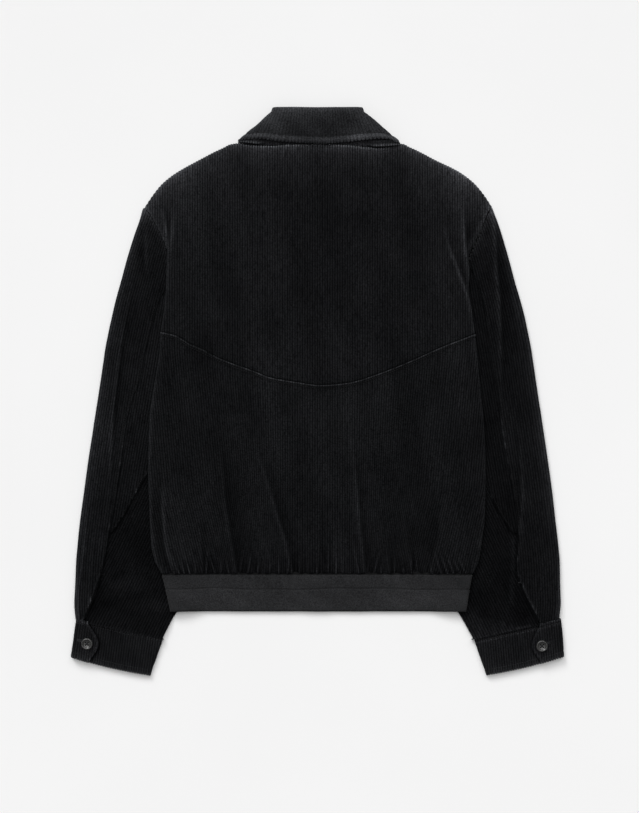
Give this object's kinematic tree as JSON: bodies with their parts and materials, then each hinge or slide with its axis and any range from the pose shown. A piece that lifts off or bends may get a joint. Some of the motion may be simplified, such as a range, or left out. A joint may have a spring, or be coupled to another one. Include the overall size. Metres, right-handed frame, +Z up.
{
  "type": "harrington jacket",
  "caption": "Short corduroy jacket laid flat on its front, with a turned-down collar, a curved back yoke, a gathered waistband and buttoned cuffs.",
  "frame": {"origin": "middle of the whole outline, on the surface that the jacket lies on", "axes": "+X to the right as the back is looked at, +Y from the waistband to the collar, +Z up from the surface, out of the back"},
  "size_m": [0.6896, 0.794, 0.0144],
  "materials": {
    "corduroy": "matte ribbed pile",
    "band_cloth": "matte smooth",
    "button_plastic": "glossy",
    "zip_tape": "matte",
    "zip_metal": "satin"
  },
  "bodies": {
    "jacket": {"back_yoke": "corduroy", "back_lower": "corduroy", "front_left": "corduroy", "front_right": "corduroy", "sleeve_left": "corduroy", "sleeve_right": "corduroy", "gusset_left": "corduroy", "gusset_right": "corduroy", "collar_fall": "corduroy", "collar_stand": "corduroy", "cuff_left": "corduroy", "cuff_right": "corduroy", "waistband_back": "band_cloth", "waistband_front_left": "band_cloth", "waistband_front_right": "band_cloth", "placket_left": "band_cloth", "placket_right": "band_cloth", "button_left": "button_plastic", "button_right": "button_plastic", "zip_tape": "zip_tape", "zip_slider": "zip_metal"},
    "pull_tab": {"zip_pull_tab": "zip_metal"}
  },
  "joints": [
    {"name": "pull_tab_hinge", "type": "hinge", "parent": "jacket", "child": "pull_tab", "pos_m": [0, 0.258, 0.0014], "axis": [1, 0, 0], "range_deg": [0, 175]}
  ]
}
